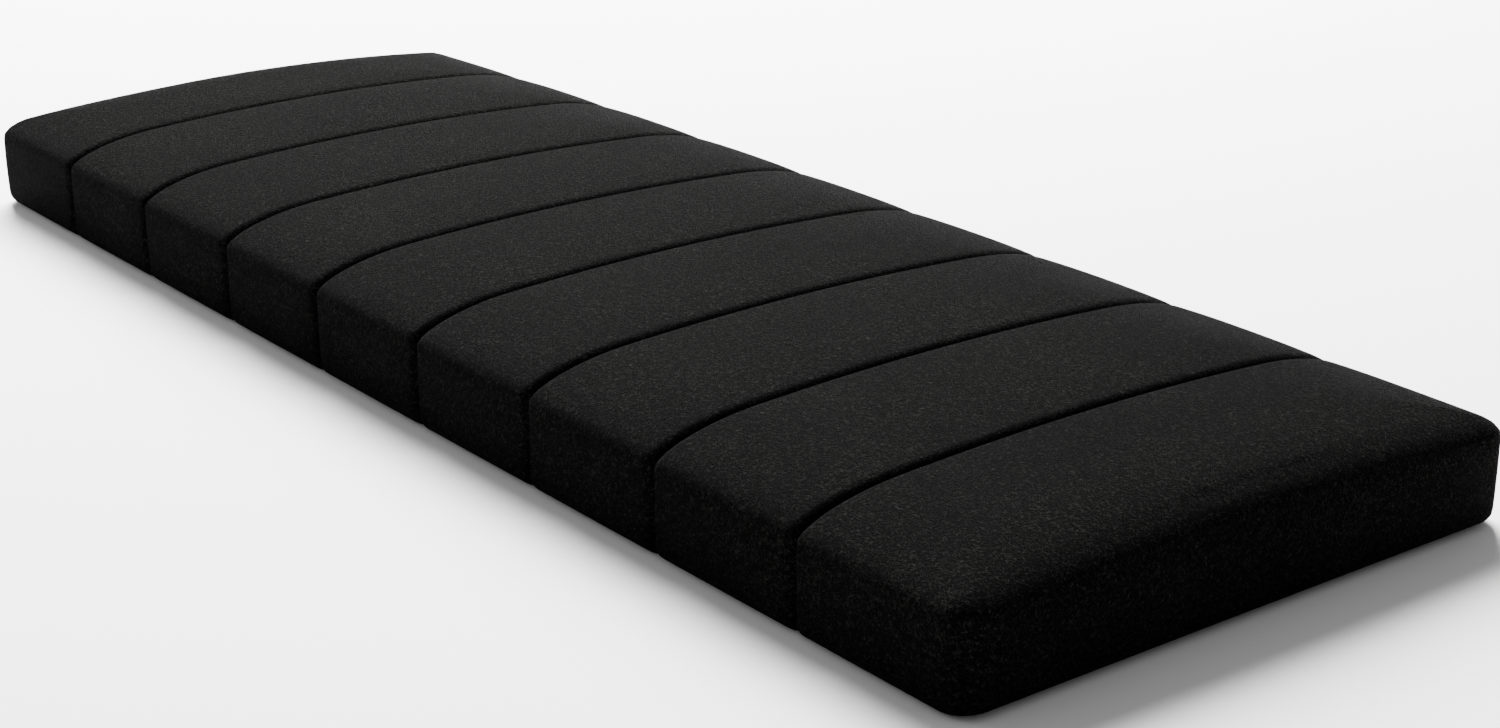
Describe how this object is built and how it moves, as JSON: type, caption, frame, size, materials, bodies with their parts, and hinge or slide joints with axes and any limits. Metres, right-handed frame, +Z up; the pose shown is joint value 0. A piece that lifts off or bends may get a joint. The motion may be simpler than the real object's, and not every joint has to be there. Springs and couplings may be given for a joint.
{
  "type": "futon mattress",
  "caption": "Long narrow futon mattress in a channel-quilted plush cover, with a layered foam core and a zip along the foot of one long side.",
  "frame": {"origin": "centre of the underside, on the surface that the mattress lies on", "axes": "+X along the length, across the quilted channels, towards the end where the zip is closed; +Y across the width, towards the long side with the zip; +Z up"},
  "size_m": [1.9, 0.7, 0.14],
  "materials": {
    "cover_plush": "short-pile plush, matt, near black",
    "wadding": "bonded polyester fibre",
    "thread": "spun polyester sewing thread",
    "scrim": "thin spunbond",
    "liner_knit": "stockinette knit",
    "support_foam": "open-cell polyurethane foam",
    "comfort_foam": "soft open-cell polyurethane foam",
    "base_fabric": "plain woven lining, matt, near black",
    "label_tape": "satin woven tape, blank",
    "zip_tape": "woven polyester zip tape",
    "zip_coil": "nylon coil",
    "zip_metal": "black enamelled zinc"
  },
  "bodies": {
    "mattress": {"base_panel": "base_fabric", "base_wadding": "wadding", "care_label": "label_tape", "channel_wadding_1": "wadding", "channel_wadding_2": "wadding", "channel_wadding_3": "wadding", "channel_wadding_4": "wadding", "channel_wadding_5": "wadding", "channel_wadding_6": "wadding", "channel_wadding_7": "wadding", "channel_wadding_8": "wadding", "channel_wadding_9": "wadding", "comfort_foam": "comfort_foam", "cover_strip_1": "cover_plush", "cover_strip_2": "cover_plush", "cover_strip_3": "cover_plush", "cover_strip_4": "cover_plush", "cover_strip_5": "cover_plush", "cover_strip_6": "cover_plush", "cover_strip_7": "cover_plush", "cover_strip_8": "cover_plush", "cover_strip_9": "cover_plush", "inner_liner": "liner_knit", "quilting_scrim": "scrim", "quilting_thread": "thread", "support_foam": "support_foam", "zip_bottom_stop": "zip_metal", "zip_coil_lower": "zip_coil", "zip_coil_upper": "zip_coil", "zip_tape_lower": "zip_tape", "zip_tape_upper": "zip_tape", "zip_top_stops": "zip_metal"},
    "slider": {"zip_slider": "zip_metal"},
    "pull": {"pull_tab": "zip_metal"}
  },
  "joints": [
    {"name": "zip_travel", "type": "slide", "parent": "mattress", "child": "slider", "axis": [-1, 0, 0], "range_m": [0, 1.625]},
    {"name": "pull_swing", "type": "hinge", "parent": "slider", "child": "pull", "pos_m": [0.826, 0.3486, 0.025], "axis": [0, 0, -1], "range_deg": [0, 165]}
  ]
}
